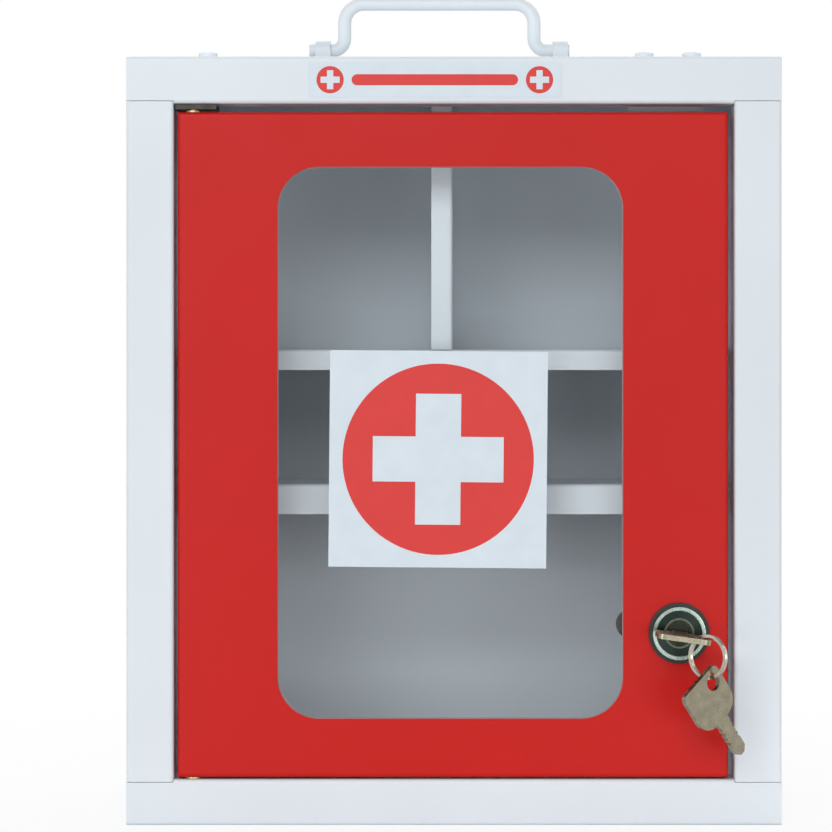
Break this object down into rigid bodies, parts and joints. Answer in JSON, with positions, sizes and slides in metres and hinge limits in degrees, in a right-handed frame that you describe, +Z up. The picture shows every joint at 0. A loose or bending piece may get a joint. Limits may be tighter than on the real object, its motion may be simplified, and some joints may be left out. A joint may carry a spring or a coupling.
{
  "type": "lockable medicine cabinet",
  "caption": "Wall or table medicine cabinet of white folded steel with a red glazed door, a cam lock with keys on a ring, shelves and a folding carrying handle.",
  "frame": {"origin": "middle of the base face that the cabinet stands on", "axes": "+X to the right seen from the front, +Y to the back wall, +Z up"},
  "size_m": [0.26, 0.1523, 0.335],
  "materials": {
    "white_paint": "satin white powder coat",
    "red_paint": "satin red powder coat",
    "label_vinyl": "white printed vinyl",
    "dark_steel": "blackened steel",
    "zinc_steel": "zinc-plated steel",
    "brass_bush": "plain brass",
    "catch_plastic": "ivory plastic",
    "magnet": "bare ferrite magnet",
    "gasket": "pale soft gasket",
    "clear_glass": "clear float glass",
    "black_plastic": "black plastic",
    "chrome": "bright chrome plate",
    "plug_metal": "darkened zinc casting",
    "nickel_key": "worn nickel-plated brass"
  },
  "bodies": {
    "cabinet": {"top_panel": "white_paint", "bottom_panel": "white_paint", "left_side_panel": "white_paint", "right_side_panel": "white_paint", "back_panel": "white_paint", "upper_shelf": "white_paint", "lower_shelf": "white_paint", "divider": "white_paint", "top_label": "label_vinyl", "upper_hinge_bracket": "dark_steel", "lower_hinge_plate": "dark_steel", "hinge_pins": "zinc_steel", "hinge_rivet": "white_paint", "catch_bracket": "white_paint", "catch_housing": "catch_plastic", "catch_magnet": "magnet", "catch_poles": "zinc_steel", "catch_rivets": "white_paint", "left_handle_bracket": "white_paint", "right_handle_bracket": "white_paint", "bracket_rivets": "white_paint"},
    "handle_bail": {"handle": "white_paint"},
    "door": {"door_panel": "red_paint", "hinge_bushes": "brass_bush", "glass_gasket": "gasket", "glass_pane": "clear_glass", "glass_studs": "zinc_steel", "glass_clips": "zinc_steel", "clip_nuts": "zinc_steel", "window_sticker": "label_vinyl", "lock_escutcheon": "black_plastic", "lock_body": "chrome", "lock_washer": "zinc_steel", "lock_nut": "zinc_steel"},
    "plug": {"lock_plug": "plug_metal", "lock_cam": "dark_steel", "cam_washer": "zinc_steel", "cam_screw": "zinc_steel"},
    "inserted_key": {"key": "nickel_key"},
    "ring": {"key_ring": "zinc_steel"},
    "hanging_key": {"spare_key": "nickel_key"}
  },
  "joints": [
    {"name": "door_hinge", "type": "hinge", "parent": "cabinet", "child": "door", "pos_m": [-0.1037, -0.0535, 0.15095], "axis": [0, 0, -1], "range_deg": [0, 115]},
    {"name": "plug_turn", "type": "hinge", "parent": "door", "child": "plug", "pos_m": [0.0892, -0.057, 0.0763], "axis": [0, 1, 0], "range_deg": [-8, 172]},
    {"name": "key_pull", "type": "slide", "parent": "plug", "child": "inserted_key", "axis": [0, -1, 0], "range_m": [0, 0.018]},
    {"name": "ring_swing", "type": "hinge", "parent": "inserted_key", "child": "ring", "pos_m": [0.09838, -0.08396, 0.07502], "axis": [0.7771, -0.6293, 0], "range_deg": [-15, 15]},
    {"name": "spare_swing", "type": "hinge", "parent": "ring", "child": "hanging_key", "pos_m": [0.09947, -0.08485, 0.06143], "axis": [0.7771, -0.6293, 0], "range_deg": [-25, 25]},
    {"name": "handle_fold", "type": "hinge", "parent": "cabinet", "child": "handle_bail", "pos_m": [-0.005, 0, 0.313], "axis": [1, 0, 0], "range_deg": [-90, 90]}
  ]
}
